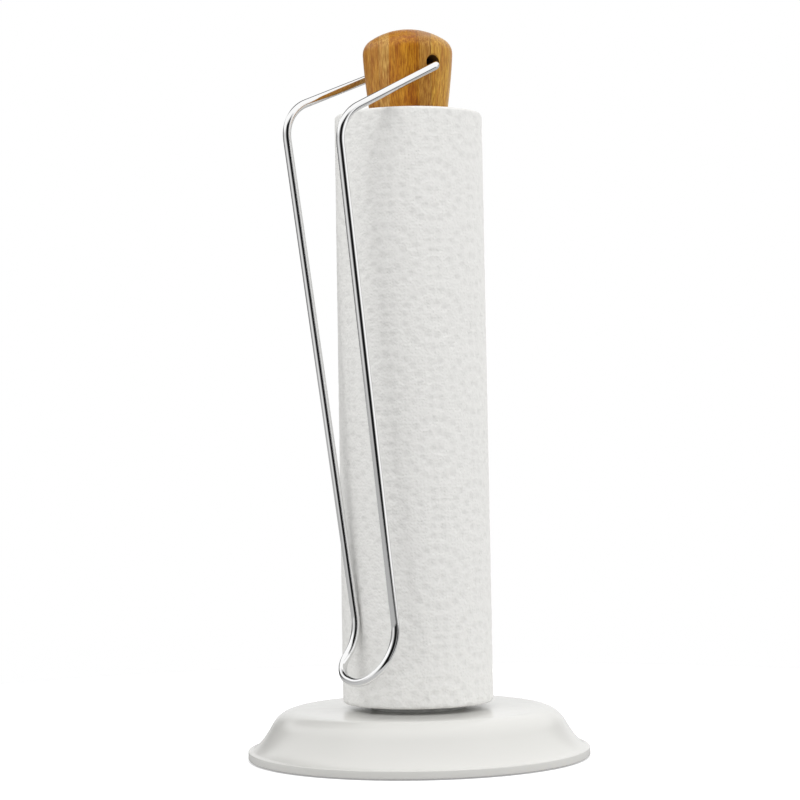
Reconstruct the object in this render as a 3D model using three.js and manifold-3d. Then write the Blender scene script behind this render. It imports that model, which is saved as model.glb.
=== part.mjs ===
// A free-standing paper towel holder: a weighted round base, an upright spindle that the roll
// turns on, a turned bamboo knob screwed into the spindle's top, and a wire arm that hangs from
// a cross bore in the knob and rests on the roll. Millimetres, +Z up. The origin is the centre
// of the footprint on the table. The arm hangs towards -X, and the knob's bore runs along Y.
import * as THREE from "three";
import { mergeVertices } from "three/addons/utils/BufferGeometryUtils.js";
import Module from "manifold-3d";

const wasm = await Module();
wasm.setup();

// How finely round shapes are cut.
const roundSides = 48;
const smallSides = 20;
const curveSteps = 6;

// Clearances: pieces that seat on each other, pieces that move past each other.
const seatGap = 0.1;
const rollGap = 0.2;
const runningGap = 0.3;

// Base shell.
const baseRadius = 81.4;
const baseHeight = 23.4;
const baseWall = 1.8;
const rimHeight = 4.4;
const rimLift = 0.6;
const rimChamfer = 0.5;
const rimStep = 2;
const coveInset = 6.7;
const coveRise = 3.1;
const waistInset = 11.5;
const waistDrop = 7.2;
const shoulderInset = 15.5;
const deckInset = 24.4;

// Underside.
const padRadius = 9;
const padHeight = 1;
const padInset = 15.4;
const padCount = 4;
const coverThickness = 1.5;
const screwInset = 18;
const screwCount = 4;
const screwShankRadius = 2;
const screwHeadRadius = 3.6;
const screwHeadHeight = 1.2;
const screwLength = 9;
const screwSlotWidth = 0.9;
const screwSlotDepth = 0.6;

// Ballast and the bolt that ties the base, the roll rest and the spindle together.
const ballastInset = 17.4;
const ballastThickness = 11.5;
const ballastBossRadius = 24;
const headRecessRadius = 13;
const headClearance = 3.2;
const boltRadius = 4;
const boltHeadAcrossCorners = 15;
const boltHeadHeight = 5.3;
const boltIntoPlug = 17;
const washerRadius = 12;
const washerThickness = 1.6;

// Spindle and roll rest.
const spindleRadius = 12.7;
const spindleWall = 1.5;
const plugLength = 22;
const plugFlange = 2;
const restRadius = 22.5;
const restHeight = 2.6;
const restFloor = 2;
const restEdge = 1;
const hubHeight = 20;
const hubChamfer = 1.5;
const hubPlay = 1.2;

// Roll of paper on its card core.
const rollLength = 280;
const rollRadius = 36.1;
const rollTaper = 0.6;
const rollEdge = 1.5;
const coreRadius = 20.6;
const coreWall = 0.9;

// Knob.
const knobHeight = 62.5;
const knobRadius = 21.5;
const knobBellyStep = 0.5;
const knobBellyDrop = 24.5;
const knobFootPlay = 5;
const knobFootChamfer = 1;
const knobInCore = 21.2;
const crownRadius = 33;
const crownAngle = 34;
const knobEdgeRadius = 7.3;
const knobWasherRadius = 12;
const knobWasherThickness = 1;
const insertRadius = 6.5;
const insertLength = 18;
const studInPlug = 20;
const studInKnob = 17;
const studChamfer = 0.8;

// Wire arm. Widths are half the distance between its two sides. It hangs a little askew in its
// bore: a skew is how far the -Y side sits below, and the +Y side above, the middle height.
const borePlay = 1.7;
const boreBelowTop = 18.5;
const wireRadius = 2;
const wireSides = 10;
const pinGap = 1.1;
const pinLength = 13;
const pinSag = 0.4;
const pinSkew = 1.1;
const pinBendInside = 1;
const elbowOut = 56;
const elbowPinch = 1.2;
const elbowBelowRollTop = 2.8;
const elbowSkew = 3.9;
const elbowBend = 18.7;
const toeHalfWidth = 16;
const toeLean = 21.4;
const toeAboveRollBottom = 33.25;
const toeBend = 23.9;
const toeCornerCut = 0.4;
const lipOut = 14.36;
const lipLean = 22.4;
const lipAboveRollBottom = 14.4;
const lipSkew = 2.5;
const lipHalfWidth = 14.7;
const lipBendShare = 0.97;
const bendSteps = 8;
const legSteps = 6;

// Heights and radii that follow from the dimensions above.
const ballastRadius = baseRadius - ballastInset;
const coverTop = padHeight + coverThickness;
const ballastTop = coverTop + ballastThickness;
const deckUnderside = baseHeight - baseWall;
const headRecessTop = coverTop + headClearance + boltHeadHeight + washerThickness;
const restTop = baseHeight + restHeight;
const socketFloor = baseHeight + restFloor;
const spindleBore = spindleRadius - spindleWall;
const threadBore = boltRadius + runningGap;
const rollTopRadius = rollRadius - rollTaper;
const rollBottom = restTop + rollGap;
const rollTop = rollBottom + rollLength;
const knobBottom = rollTop - knobInCore;
const knobTop = knobBottom + knobHeight;
const plugTop = knobBottom - knobWasherThickness;
const spindleTop = plugTop - plugFlange;
const knobFootRadius = coreRadius - knobFootPlay;
const knobBellyRadius = coreRadius + knobBellyStep;
const boreHeight = knobTop - boreBelowTop;
const boreRadius = wireRadius + borePlay;
const pinHeight = boreHeight - pinSag;
const pinCorner = knobRadius + pinGap + wireRadius;
const pinTip = pinCorner - pinLength;
const pinBend = wireRadius + pinBendInside;

const whiteEnamel = finish(0xdddcd8, 0.3, 0);
const castIron = finish(0x3b3c3e, 0.75, 0.6);
const blackPlastic = finish(0x2a2a2b, 0.6, 0);
const greyRubber = finish(0x55565a, 0.9, 0);
const zincSteel = finish(0xa9adb0, 0.4, 0.9);
const whitePlastic = finish(0xd9d8d4, 0.45, 0);
const chrome = finish(0xd6d8da, 0.08, 1);
const brass = finish(0xb89545, 0.35, 0.9);
const bamboo = finish(0xb4762e, 0.4, 0);
const greyFibre = finish(0x5b5a57, 0.95, 0);
const card = finish(0xb59a74, 0.9, 0);
const paper = finish(0xe6e6e3, 0.95, 0);

function finish(color, roughness, metalness) {
  return new THREE.MeshStandardMaterial({ color, roughness, metalness });
}

function radians(degrees) {
  return (degrees * Math.PI) / 180;
}

// Turns an outline of [radius, height] points, walked anticlockwise, about the Z axis.
function turned(outline, sides = roundSides) {
  const points = outline.map(([r, z]) => new THREE.Vector2(r, z));
  return new THREE.LatheGeometry(points, sides).rotateX(Math.PI / 2);
}

function ring(inner, outer, low, high, sides = roundSides) {
  return turned([[inner, low], [outer, low], [outer, high], [inner, high], [inner, low]], sides);
}

function disc(radius, low, high, sides = roundSides) {
  return turned([[0, low], [radius, low], [radius, high], [0, high]], sides);
}

// A round bar with a chamfer at each end.
function bar(radius, low, high, chamfer, sides = smallSides) {
  return turned([
    [0, low],
    [radius - chamfer, low],
    [radius, low + chamfer],
    [radius, high - chamfer],
    [radius - chamfer, high],
    [0, high],
  ], sides);
}

function quadratic(a, b, c, steps = curveSteps) {
  const curve = new THREE.QuadraticBezierCurve(
    new THREE.Vector2(...a),
    new THREE.Vector2(...b),
    new THREE.Vector2(...c),
  );
  return curve.getPoints(steps).map((p) => [p.x, p.y]);
}

function arc(centreR, centreZ, radius, fromDegrees, toDegrees, steps = curveSteps) {
  return Array.from({ length: steps + 1 }, (_, i) => {
    const angle = radians(fromDegrees + ((toDegrees - fromDegrees) * i) / steps);
    return [centreR + radius * Math.cos(angle), centreZ + radius * Math.sin(angle)];
  });
}

// The outline moved to its left, as it is walked, by a distance.
function offset(outline, distance) {
  return outline.map(([r, z], i) => {
    const before = outline[Math.max(i - 1, 0)];
    const after = outline[Math.min(i + 1, outline.length - 1)];
    const along = new THREE.Vector2(after[0] - before[0], after[1] - before[1]).normalize();
    return [r - along.y * distance, z + along.x * distance];
  });
}

function toSolid(geometry) {
  const bare = geometry.index ? geometry.toNonIndexed() : geometry.clone();
  bare.deleteAttribute("normal");
  bare.deleteAttribute("uv");
  const merged = mergeVertices(bare, 1e-4);
  return new wasm.Manifold(
    new wasm.Mesh({
      numProp: 3,
      vertProperties: merged.attributes.position.array,
      triVerts: new Uint32Array(merged.index.array),
    }),
  );
}

function toGeometry(solid) {
  const mesh = solid.getMesh();
  const geometry = new THREE.BufferGeometry();
  geometry.setAttribute("position", new THREE.BufferAttribute(mesh.vertProperties, 3));
  geometry.setIndex(new THREE.BufferAttribute(mesh.triVerts, 1));
  geometry.computeVertexNormals();
  return geometry;
}

function cut(geometry, ...tools) {
  return toGeometry(tools.reduce((left, tool) => left.subtract(toSolid(tool)), toSolid(geometry)));
}

function joined(geometry, other) {
  return toGeometry(toSolid(geometry).add(toSolid(other)));
}

// The places of count pieces spaced evenly on a circle.
function around(count, radius, startDegrees) {
  return Array.from({ length: count }, (_, i) => {
    const angle = radians(startDegrees + (360 * i) / count);
    return [radius * Math.cos(angle), radius * Math.sin(angle)];
  });
}

// The flank from the rim up to the flat deck: a hollow cove, then a round shoulder.
function baseFlank() {
  const waist = [baseRadius - waistInset, baseHeight - waistDrop];
  const cove = quadratic(
    [baseRadius - rimStep, rimHeight + rimChamfer / 2],
    [baseRadius - coveInset, rimHeight + coveRise],
    waist,
  );
  const shoulder = quadratic(
    waist,
    [baseRadius - shoulderInset, baseHeight],
    [baseRadius - deckInset, baseHeight],
  );
  return [...cove, ...shoulder.slice(1)];
}

function baseShell() {
  const flank = baseFlank();
  const rimInside = baseRadius - baseWall;
  return turned([
    [rimInside, rimLift],
    [baseRadius, rimLift],
    [baseRadius, rimHeight - rimChamfer],
    [baseRadius - rimChamfer, rimHeight],
    ...flank,
    [threadBore, baseHeight],
    [threadBore, deckUnderside],
    ...offset(flank, baseWall).reverse(),
    [rimInside, rimHeight - baseWall],
    [rimInside, rimLift],
  ]);
}

// A countersunk screw head with its neck, larger by a gap all round.
function screwCone(gap) {
  return [
    [screwHeadRadius + gap, padHeight],
    [screwShankRadius + gap, padHeight + screwHeadHeight],
  ];
}

function countersink([x, y]) {
  const sink = turned([
    [0, padHeight - 1],
    [screwHeadRadius + seatGap, padHeight - 1],
    ...screwCone(seatGap),
    [screwShankRadius + seatGap, coverTop + 1],
    [0, coverTop + 1],
  ], smallSides);
  return sink.translate(x, y, 0);
}

function tappedHole([x, y]) {
  const deep = padHeight + screwLength + runningGap;
  return disc(screwShankRadius + seatGap, coverTop - 1, deep, smallSides).translate(x, y, 0);
}

function bottomCover(screwPlaces) {
  const plate = disc(baseRadius - baseWall - runningGap, padHeight, coverTop);
  return cut(plate, ...screwPlaces.map(countersink));
}

function coverScrew() {
  const blank = turned([
    [0, padHeight],
    ...screwCone(0),
    [screwShankRadius, padHeight + screwLength],
    [0, padHeight + screwLength],
  ], smallSides);
  const slot = new THREE.BoxGeometry(screwHeadRadius * 3, screwSlotWidth, screwSlotDepth * 2);
  return cut(blank, slot.translate(0, 0, padHeight));
}

function footPad() {
  return disc(padRadius, 0, padHeight, smallSides);
}

// A cast disc with a centre boss that meets the underside of the deck, and a recess for the
// bolt's head.
function ballast(screwPlaces) {
  const blank = turned([
    [headRecessRadius, coverTop],
    [ballastRadius, coverTop],
    [ballastRadius, ballastTop],
    [ballastBossRadius, ballastTop],
    [ballastBossRadius, deckUnderside],
    [threadBore, deckUnderside],
    [threadBore, headRecessTop],
    [headRecessRadius, headRecessTop],
    [headRecessRadius, coverTop],
  ]);
  return cut(blank, ...screwPlaces.map(tappedHole));
}

function tieWasher() {
  return ring(threadBore, washerRadius, headRecessTop - washerThickness, headRecessTop, smallSides);
}

function tieBolt() {
  const headTop = headRecessTop - washerThickness;
  const head = new THREE.CylinderGeometry(
    boltHeadAcrossCorners / 2,
    boltHeadAcrossCorners / 2,
    boltHeadHeight,
    6,
  );
  head.rotateX(Math.PI / 2).translate(0, 0, headTop - boltHeadHeight / 2);
  const shank = disc(boltRadius, headTop - 1, socketFloor + boltIntoPlug, smallSides);
  return joined(head, shank);
}

// The step that the roll stands on, with a hub that centres the card core and a socket for the
// spindle's foot.
function rollRest() {
  const hubRadius = coreRadius - hubPlay;
  const hubTop = restTop + hubHeight;
  const socket = spindleRadius + seatGap;
  return turned([
    [threadBore, baseHeight],
    [restRadius, baseHeight],
    ...arc(restRadius - restEdge, restTop - restEdge, restEdge, 0, 90, 3),
    [hubRadius, restTop],
    [hubRadius, hubTop - hubChamfer],
    [hubRadius - hubChamfer, hubTop],
    [socket, hubTop],
    [socket, socketFloor],
    [threadBore, socketFloor],
    [threadBore, baseHeight],
  ]);
}

function spindleTube() {
  return ring(spindleBore, spindleRadius, socketFloor, spindleTop);
}

function bottomPlug() {
  const radius = spindleBore - seatGap;
  return ring(threadBore, radius, socketFloor, socketFloor + plugLength, smallSides * 2);
}

function topPlug() {
  const radius = spindleBore - seatGap;
  return turned([
    [threadBore, spindleTop - plugLength],
    [radius, spindleTop - plugLength],
    [radius, spindleTop],
    [spindleRadius, spindleTop],
    [spindleRadius, plugTop],
    [threadBore, plugTop],
    [threadBore, spindleTop - plugLength],
  ], smallSides * 2);
}

function cardCore() {
  return ring(coreRadius, coreRadius + coreWall, rollBottom, rollTop);
}

function paperRoll() {
  const inside = coreRadius + coreWall + seatGap;
  return turned([
    [inside, rollBottom],
    ...arc(rollRadius - rollEdge, rollBottom + rollEdge, rollEdge, -90, 0, 3),
    ...arc(rollTopRadius - rollEdge, rollTop - rollEdge, rollEdge, 0, 90, 3),
    [inside, rollTop],
    [inside, rollBottom],
  ]);
}

// The knob's outline: a tapered body, a rounded edge and a shallow domed crown.
function knobOutline() {
  const crownCentre = knobTop - crownRadius;
  const crown = arc(0, crownCentre, crownRadius, 90 - crownAngle, 90);
  const [crownEndR, crownEndZ] = crown[0];
  const edgeR = crownEndR - knobEdgeRadius * Math.sin(radians(crownAngle));
  const edgeZ = crownEndZ - knobEdgeRadius * Math.cos(radians(crownAngle));
  const widest = edgeR + knobEdgeRadius;
  const body = quadratic(
    [knobFootRadius, knobBottom + knobFootChamfer],
    [knobBellyRadius, knobTop - knobBellyDrop],
    [knobRadius, edgeZ],
  );
  const edge = arc(edgeR, edgeZ, knobEdgeRadius, 0, 90 - crownAngle);
  const squeeze = knobRadius / widest;
  const dome = [...edge.slice(1, -1), ...crown].map(([r, z]) => [r * squeeze, z]);
  dome[dome.length - 1][0] = 0;
  return [[0, knobBottom], [knobFootRadius - knobFootChamfer, knobBottom], ...body, ...dome];
}

function knob() {
  const insertHole = disc(
    insertRadius + seatGap,
    knobBottom - 1,
    knobBottom + insertLength + runningGap,
    smallSides,
  );
  const crossBore = new THREE.CylinderGeometry(boreRadius, boreRadius, knobRadius * 3, smallSides);
  crossBore.translate(0, 0, boreHeight);
  return cut(turned(knobOutline()), insertHole, crossBore);
}

function knobInsert() {
  return ring(threadBore, insertRadius, knobBottom, knobBottom + insertLength, smallSides);
}

function knobStud() {
  return bar(boltRadius, plugTop - studInPlug, knobBottom + studInKnob, studChamfer);
}

function knobWasher() {
  return ring(threadBore, knobWasherRadius, plugTop, knobBottom, smallSides * 2);
}

// A path whose stations are given, so that the wire gets its steps where it bends.
class StationPath extends THREE.Curve {
  constructor(stations) {
    super();
    this.stations = stations;
  }

  station(u) {
    return this.stations[Math.round(u * (this.stations.length - 1))];
  }

  getPointAt(u, target = new THREE.Vector3()) {
    return target.copy(this.station(u).place);
  }

  getTangentAt(u, target = new THREE.Vector3()) {
    return target.copy(this.station(u).heading);
  }
}

// The stations round one corner: an arc of the given radius that touches both straights.
function bendStations(before, corner, after, radius, steps) {
  const back = before.clone().sub(corner).normalize();
  const on = after.clone().sub(corner).normalize();
  const half = back.angleTo(on) / 2;
  const centreWay = back.clone().add(on).normalize();
  const centre = corner.clone().addScaledVector(centreWay, radius / Math.sin(half));
  const first = corner.clone().addScaledVector(back, radius / Math.tan(half)).sub(centre);
  const last = corner.clone().addScaledVector(on, radius / Math.tan(half)).sub(centre);
  const axis = first.clone().cross(last).normalize();
  const sweep = first.angleTo(last);
  return Array.from({ length: steps + 1 }, (_, i) => {
    const spoke = first.clone().applyAxisAngle(axis, (sweep * i) / steps);
    return { place: centre.clone().add(spoke), heading: axis.clone().cross(spoke).normalize() };
  });
}

function straightStations(from, to, steps) {
  const heading = to.clone().sub(from).normalize();
  return Array.from({ length: steps - 1 }, (_, i) => ({
    place: from.clone().lerp(to, (i + 1) / steps),
    heading,
  }));
}

// A point of the wire: how far out from the spindle, how far towards -Y, and its height.
function wirePoint(out, side, height) {
  return new THREE.Vector3(-out, -side, height);
}

// The wire's corners from the pin on one side, sign 1 for -Y and -1 for +Y, down to the lip.
function wireHalf(sign) {
  const pinFall = (side) => pinHeight - (sign * pinSkew * side) / pinCorner;
  const innerToe = toeLean - toeHalfWidth;
  const touchRadius = rollRadius + wireRadius + seatGap - toeCornerCut;
  const toeOut = Math.sqrt(touchRadius ** 2 - innerToe ** 2);
  const toeHeight = rollBottom + toeAboveRollBottom;
  const lipHeight = rollBottom + lipAboveRollBottom - sign * lipSkew;
  const elbowHeight = rollTop - elbowBelowRollTop - sign * elbowSkew;
  return {
    tip: wirePoint(0, sign * pinTip, pinFall(pinTip)),
    pin: wirePoint(0, sign * pinCorner, pinFall(pinCorner)),
    elbow: wirePoint(elbowOut, sign * (pinCorner - elbowPinch), elbowHeight),
    toe: wirePoint(toeOut, toeLean + sign * toeHalfWidth, toeHeight),
    lip: wirePoint(toeOut + lipOut, lipLean + sign * lipHalfWidth, lipHeight),
  };
}

function wireStations() {
  const near = wireHalf(1);
  const far = wireHalf(-1);
  const lipBend = lipHalfWidth * lipBendShare;
  const corners = [
    [near.pin, pinBend, 1],
    [near.elbow, elbowBend, legSteps],
    [near.toe, toeBend, 1],
    [near.lip, lipBend, 1],
    [far.lip, lipBend, 1],
    [far.toe, toeBend, legSteps],
    [far.elbow, elbowBend, 1],
    [far.pin, pinBend, 1],
  ];
  const places = [near.tip, ...corners.map(([place]) => place), far.tip];
  const stations = [
    { place: near.tip, heading: near.pin.clone().sub(near.tip).normalize() },
  ];
  corners.forEach(([corner, radius, stepsAfter], i) => {
    const bend = bendStations(places[i], corner, places[i + 2], radius, bendSteps);
    if (i > 0 && corners[i - 1][2] > 1) {
      const from = stations[stations.length - 1].place;
      stations.push(...straightStations(from, bend[0].place, corners[i - 1][2]));
    }
    stations.push(...bend);
  });
  stations.push({ place: far.tip, heading: far.tip.clone().sub(far.pin).normalize() });
  return stations;
}

function swingArm() {
  const stations = wireStations();
  const section = new THREE.Shape().absarc(0, 0, wireRadius, 0, 2 * Math.PI);
  return new THREE.ExtrudeGeometry(section, {
    steps: stations.length - 1,
    curveSegments: wireSides / 2,
    bevelEnabled: false,
    extrudePath: new StationPath(stations),
  });
}

function piece(name, geometry, material) {
  const mesh = new THREE.Mesh(geometry, material);
  mesh.name = name;
  return mesh;
}

// Copies of one piece at the given places, named with a number.
function pieces(name, geometry, material, places) {
  return places.map(([x, y], i) => {
    const mesh = piece(name + "_" + (i + 1), geometry, material);
    mesh.position.set(x, y, 0);
    return mesh;
  });
}

function group(...children) {
  return new THREE.Group().add(...children.flat());
}

function weightedBase() {
  const screwPlaces = around(screwCount, ballastRadius - screwInset, 0);
  const padPlaces = around(padCount, baseRadius - padInset, 45);
  return group(
    piece("base_shell", baseShell(), whiteEnamel),
    piece("ballast_weight", ballast(screwPlaces), castIron),
    piece("bottom_cover", bottomCover(screwPlaces), blackPlastic),
    pieces("cover_screw", coverScrew(), zincSteel, screwPlaces),
    pieces("foot_pad", footPad(), greyRubber, padPlaces),
  );
}

function spindle() {
  return group(
    piece("roll_rest", rollRest(), whitePlastic),
    piece("spindle_tube", spindleTube(), chrome),
    piece("spindle_bottom_plug", bottomPlug(), zincSteel),
    piece("spindle_top_plug", topPlug(), zincSteel),
    piece("tie_bolt", tieBolt(), zincSteel),
    piece("tie_washer", tieWasher(), zincSteel),
  );
}

function roll() {
  return group(
    piece("card_core", cardCore(), card),
    piece("paper_roll", paperRoll(), paper),
  );
}

function knobAndArm() {
  return group(
    piece("knob", knob(), bamboo),
    piece("knob_insert", knobInsert(), brass),
    piece("knob_stud", knobStud(), zincSteel),
    piece("knob_washer", knobWasher(), greyFibre),
    piece("swing_arm", swingArm(), chrome),
  );
}

const holder = group(weightedBase(), spindle(), roll(), knobAndArm());

export default holder;
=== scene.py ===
"""A free-standing paper towel holder: an enamelled weighted base, a roll of embossed paper on
its card tube, a turned bamboo knob, and a chrome wire arm that hangs from a bore in the knob."""

import random
from math import atan2, ceil, cos, hypot, pi, radians, sin, tan

import bmesh
import bpy
import numpy as np
from bpy.props import FloatProperty, FloatVectorProperty, IntProperty, PointerProperty
from bpy.types import NodeSocket, Operator, Panel, PropertyGroup
from mathutils import Matrix, Vector


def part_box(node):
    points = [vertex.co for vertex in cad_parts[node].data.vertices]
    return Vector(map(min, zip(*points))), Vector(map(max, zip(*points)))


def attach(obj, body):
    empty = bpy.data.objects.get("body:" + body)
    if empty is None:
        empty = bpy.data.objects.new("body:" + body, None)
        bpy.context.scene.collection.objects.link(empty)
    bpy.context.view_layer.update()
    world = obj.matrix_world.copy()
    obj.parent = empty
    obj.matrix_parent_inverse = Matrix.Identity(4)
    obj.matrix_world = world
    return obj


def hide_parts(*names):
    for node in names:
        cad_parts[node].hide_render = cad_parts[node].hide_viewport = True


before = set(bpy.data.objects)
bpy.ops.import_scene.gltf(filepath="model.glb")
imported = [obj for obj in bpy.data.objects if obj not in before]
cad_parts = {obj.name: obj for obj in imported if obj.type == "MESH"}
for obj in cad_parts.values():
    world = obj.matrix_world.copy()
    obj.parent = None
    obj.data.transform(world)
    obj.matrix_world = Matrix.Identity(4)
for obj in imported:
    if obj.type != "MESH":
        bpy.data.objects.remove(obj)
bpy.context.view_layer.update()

bl_info = {
    "name": "Paper Towel Holder",
    "version": (1, 0, 0),
    "blender": (4, 5, 0),
    "location": "View3D > Sidebar > Towel Holder",
    "description": "Builds a weighted paper towel holder with a bamboo knob and a wire arm",
    "category": "Add Mesh",
}

MM = 0.001
MERGE = 1e-7

# Degrees that the camera stands round from the -Y side, and degrees round from the +X axis to
# the free edge of the outer sheet.
VIEW_TURN = 35
TAIL_ANGLE = -52

# Steps round each turned piece, rows up the outer sheets, and sides and bend steps of the wire.
BASE_STEPS = 256
REST_STEPS = 128
CARD_STEPS = 128
SHEET_STEPS = 300
SHEET_ROWS = 296
WOUND_STEPS = 180
KNOB_STEPS = 176
DRILL_STEPS = 64
WIRE_SIDES = 28
WIRE_BEND_STEP = 4

SHELL_LOW, SHELL_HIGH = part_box("base_shell")
REST_LOW, REST_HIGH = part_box("roll_rest")
PAPER_LOW, PAPER_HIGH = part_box("paper_roll")
CARD_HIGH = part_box("card_core")[1]
KNOB_LOW, KNOB_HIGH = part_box("knob")
TUBE_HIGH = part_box("spindle_tube")[1]


def length(name, description, default):
    return FloatProperty(
        name=name, description=description, default=default, min=0, precision=5, unit="LENGTH"
    )


def colour(name, description, default):
    return FloatVectorProperty(
        name=name, description=description, default=default, min=0, max=1, subtype="COLOR"
    )


class BaseSizes(PropertyGroup):
    radius: length("Radius", "Radius of the foot of the base", SHELL_HIGH.x)
    low: length("Rim lift", "Height of the rim's lower edge", SHELL_LOW.z)
    high: length("Deck height", "Height of the flat deck", SHELL_HIGH.z)
    wall: length("Wall", "Thickness of the shell", 1.8 * MM)
    rim_height: length("Rim height", "Height of the rim's upper edge", 4.4 * MM)
    rim_bevel: length("Rim bevel", "Rounding of the rim's upper edge", 0.5 * MM)
    bore: length("Bore", "Radius of the hole for the tie bolt", 4.3 * MM)


class RollSizes(PropertyGroup):
    radius: length("Radius", "Radius of the roll of paper", PAPER_HIGH.x)
    taper: length("Taper", "How much slimmer the roll is at its top", 0.6 * MM)
    edge: length("Edge", "Rounding of the roll's two edges", 1.5 * MM)
    low: length("Foot", "Height of the roll's lower end", PAPER_LOW.z)
    high: length("Top", "Height of the roll's upper end", PAPER_HIGH.z)
    sleeve: length("Sleeve", "Thickness of the outer embossed sheets", 2 * MM)
    card_radius: length("Card radius", "Outer radius of the card tube", CARD_HIGH.x)
    card_wall: length("Card wall", "Thickness of the card tube", 0.9 * MM)
    layer: length("Layer", "Pitch of the wound sheets at the roll's ends", 0.62 * MM)
    dimple: length("Dimple", "Depth of the large embossed dimples", 0.42 * MM)


class KnobSizes(PropertyGroup):
    radius: length("Radius", "Largest radius of the knob", KNOB_HIGH.x)
    low: length("Foot", "Height of the knob's foot", KNOB_LOW.z)
    high: length("Top", "Height of the knob's crown", KNOB_HIGH.z)
    foot: length("Foot radius", "Radius of the knob's foot", 15.6 * MM)
    belly: length("Belly", "Radius that the knob's side swells towards", 21.1 * MM)
    crown: length("Crown", "Radius of the domed top", 33 * MM)
    edge: length("Edge", "Radius of the rounded upper edge", 7.3 * MM)
    bore: length("Bore", "Radius of the cross bore that the arm hangs in", 3.7 * MM)
    bore_drop: length("Bore drop", "Depth of the bore's middle below the crown", 18.5 * MM)
    stud_hole: length("Stud hole", "Radius of the hole for the threaded insert", 6.6 * MM)
    stud_depth: length("Stud depth", "Depth of the hole for the threaded insert", 18.3 * MM)


class ArmSizes(PropertyGroup):
    wire: length("Wire", "Radius of the wire", 2 * MM)
    pin_side: length("Pin", "Distance of the pins' outer corners from the knob's axis", 24.6 * MM)
    pin_tip: length("Pin tip", "Distance of the pins' tips from the knob's axis", 11.6 * MM)
    pin_height: length("Pin height", "Middle height of the pins", 328.6 * MM)
    pin_skew: length("Pin skew", "How far one pin sits below the middle height", 1.1 * MM)
    pin_bend: length("Pin bend", "Radius of the bend at each pin", 3 * MM)
    elbow_out: length("Elbow reach", "Distance of the elbows from the spindle's axis", 56 * MM)
    elbow_side: length("Elbow side", "Half the distance between the elbows", 23.4 * MM)
    elbow_height: length("Elbow height", "Middle height of the elbows", 303.4 * MM)
    elbow_skew: length("Elbow skew", "How far one elbow sits below the middle height", 3.9 * MM)
    elbow_bend: length("Elbow bend", "Radius of the bend at each elbow", 18.7 * MM)
    toe_out: length("Toe reach", "Distance of the toes from the spindle's axis", 37.41 * MM)
    toe_lean: length("Toe lean", "How far the toes sit to one side", 21.4 * MM)
    toe_side: length("Toe side", "Half the distance between the toes", 16 * MM)
    toe_height: length("Toe height", "Height of the toes", 59.45 * MM)
    toe_bend: length("Toe bend", "Radius of the bend at each toe", 23.9 * MM)
    lip_out: length("Lip reach", "How far the finger lip stands out from the toes", 14.36 * MM)
    lip_lean: length("Lip lean", "How far the finger lip sits to one side", 22.4 * MM)
    lip_height: length("Lip height", "Middle height of the finger lip", 40.6 * MM)
    lip_skew: length("Lip skew", "How far one corner of the lip sits below its middle", 2.5 * MM)
    lip_side: length("Lip side", "Half the width of the finger lip", 14.7 * MM)
    lip_bend: length("Lip bend", "Radius of the bends at the finger lip", 14.26 * MM)


class HolderColours(PropertyGroup):
    enamel: colour("Enamel", "Powder coat of the base", (0.66, 0.655, 0.63))
    paper: colour("Paper", "Tissue of the roll", (0.81, 0.805, 0.785))
    card: colour("Card", "Tube inside the roll", (0.40, 0.31, 0.21))
    bamboo: colour("Bamboo", "Main strips of the knob", (0.47, 0.19, 0.012))
    chrome: colour("Chrome", "Plating of the wire arm", (0.86, 0.86, 0.86))
    plastic: colour("White plastic", "Step that the roll stands on", (0.66, 0.66, 0.64))
    floor: colour("Floor", "Studio floor", (0.9, 0.9, 0.9))


class HolderSettings(PropertyGroup):
    base: PointerProperty(type=BaseSizes, name="Base", description="Sizes of the base")
    roll: PointerProperty(type=RollSizes, name="Roll", description="Sizes of the roll")
    knob: PointerProperty(type=KnobSizes, name="Knob", description="Sizes of the knob")
    arm: PointerProperty(type=ArmSizes, name="Arm", description="Sizes of the wire arm")
    colours: PointerProperty(type=HolderColours, name="Colours", description="Colours")
    seed: IntProperty(name="Seed", description="Seed of every random choice", default=7)


def settings():
    return bpy.context.scene.towel_holder


# ---- Outlines ----


def arc(centre, radius, start, end, steps):
    """Points (radius, height) on a round stretch, between two angles in degrees."""
    angles = [radians(start + (end - start) * i / steps) for i in range(steps + 1)]
    return [(centre[0] + radius * cos(a), centre[1] + radius * sin(a)) for a in angles]


def curve(a, b, c, steps):
    """Points on the quadratic curve from a to c that leans towards b."""
    shares = [i / steps for i in range(steps + 1)]
    return [
        tuple(p * (1 - t) ** 2 + 2 * q * t * (1 - t) + r * t**2 for p, q, r in zip(a, b, c))
        for t in shares
    ]


def inside(outline, wall):
    """The outline moved inwards by the wall's thickness, walked the other way."""
    moved = []
    for i, (r, z) in enumerate(outline):
        before = outline[max(i - 1, 0)]
        after = outline[min(i + 1, len(outline) - 1)]
        run = (after[0] - before[0], after[1] - before[1])
        size = hypot(*run)
        moved.append((r - wall * run[1] / size, z + wall * run[0] / size))
    return moved[::-1]


# ---- Meshes ----


def merged(bm):
    bmesh.ops.remove_doubles(bm, verts=bm.verts, dist=MERGE)
    bmesh.ops.recalc_face_normals(bm, faces=bm.faces)
    return bm


def turned(outline, steps, closed=False):
    """The outline of (radius, height) points turned about the Z axis. It starts and ends on
    the axis, or is closed."""
    bm = bmesh.new()
    points = [bm.verts.new((r, 0, z)) for r, z in outline]
    for a, b in zip(points, points[1:]):
        bm.edges.new((a, b))
    if closed:
        bm.edges.new((points[-1], points[0]))
    bmesh.ops.spin(
        bm,
        geom=bm.verts[:] + bm.edges[:],
        cent=(0, 0, 0),
        axis=(0, 0, 1),
        dvec=(0, 0, 0),
        angle=2 * pi,
        steps=steps,
        use_merge=True,
        use_duplicate=False,
    )
    return merged(bm)


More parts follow.
